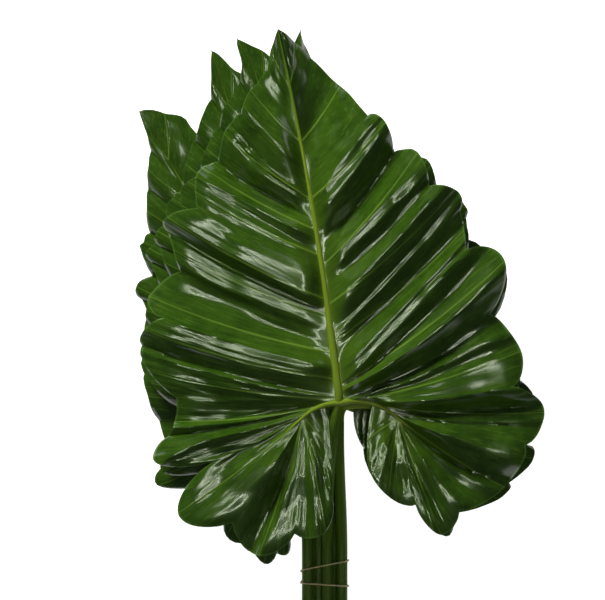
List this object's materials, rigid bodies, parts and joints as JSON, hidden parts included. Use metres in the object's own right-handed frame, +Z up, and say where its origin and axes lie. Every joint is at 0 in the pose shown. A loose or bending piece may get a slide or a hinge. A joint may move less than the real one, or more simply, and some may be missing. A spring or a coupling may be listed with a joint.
{
  "type": "tied bunch of philodendron leaves",
  "caption": "Bunch of large glossy heart-shaped philodendron leaves on long cut stalks, laid flat, face up and overlapping, held by a thin rubber band.",
  "frame": {"origin": "middle of the bunch's outline from above, on the surface that it lies on", "axes": "+Z up, +Y towards the leaf tips, -Y towards the cut ends of the stalks, +X to the right seen from above"},
  "size_m": [0.3092, 0.5884, 0.0823],
  "materials": {
    "leaf_1": "gloss",
    "leaf_2": "gloss",
    "leaf_3": "gloss",
    "leaf_4": "gloss",
    "leaf_5": "gloss",
    "rubber_band": "satin"
  },
  "bodies": {
    "root": {"leaf_1": "leaf_1", "leaf_2": "leaf_2", "leaf_3": "leaf_3", "leaf_4": "leaf_4", "leaf_5": "leaf_5", "rubber_band": "rubber_band"}
  },
  "joints": []
}
